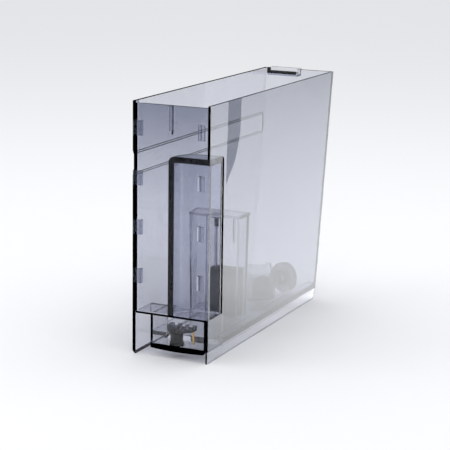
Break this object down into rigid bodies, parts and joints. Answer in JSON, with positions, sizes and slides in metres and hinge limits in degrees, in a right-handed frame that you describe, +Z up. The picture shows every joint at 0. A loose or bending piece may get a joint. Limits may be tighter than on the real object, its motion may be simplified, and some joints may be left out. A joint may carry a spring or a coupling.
{
  "type": "fresh water tank",
  "caption": "Smoky clear removable water tank, open at the top, with float chamber, filter cup, outlet valve in a front sump, side pocket and hook tabs.",
  "frame": {"origin": "middle of the whole tank's footprint, at the lower edge it rests on", "axes": "+Z up, -Y to the front panel with the hooks, +X to the side with the open pocket"},
  "size_m": [0.082, 0.326, 0.25],
  "materials": {
    "smoke_clear": "gloss",
    "smoke_veiled": "gloss",
    "smoke_deep": "gloss",
    "clear": "gloss",
    "clear_grey": "satin",
    "strainer": "matte",
    "black_plastic": "gloss",
    "float_foam": "matte",
    "magnet": "matte",
    "rubber": "matte",
    "brass": "satin",
    "steel": "satin"
  },
  "bodies": {
    "tank": {"tank_shell": "smoke_clear", "right_wall": "smoke_veiled", "grip_strip": "rubber", "pocket_liner": "smoke_deep", "sump_box": "smoke_deep", "valve_body": "black_plastic", "valve_nut": "black_plastic", "valve_spring": "steel", "flange_seal": "rubber", "float_chamber": "clear", "chamber_cap": "clear", "guide_rod": "steel", "rod_hanger": "black_plastic", "filter_cup": "clear", "strainer_dome": "strainer", "outlet_pipe": "clear_grey", "outlet_seal": "rubber"},
    "stem": {"valve_stem": "brass", "valve_crown": "clear_grey", "contact_blade": "brass", "poppet_seal": "rubber", "stem_clip": "steel"},
    "float": {"level_float": "float_foam", "float_magnet": "magnet"},
    "ring": {"coupling_ring": "clear_grey"}
  },
  "joints": [
    {"name": "float_rise", "type": "slide", "parent": "tank", "child": "float", "axis": [0, 0, 1], "range_m": [0, 0.04]},
    {"name": "stem_lift", "type": "slide", "parent": "tank", "child": "stem", "axis": [0, 0, 1], "range_m": [0, 0.0035], "stiffness_N_per_m": 300, "deforming": ["valve_spring"]},
    {"name": "ring_turn", "type": "hinge", "parent": "tank", "child": "ring", "pos_m": [0.0071, 0.0435, 0.0319], "axis": [0.4131, 0.9107, 0], "range_deg": [0, 60]}
  ]
}
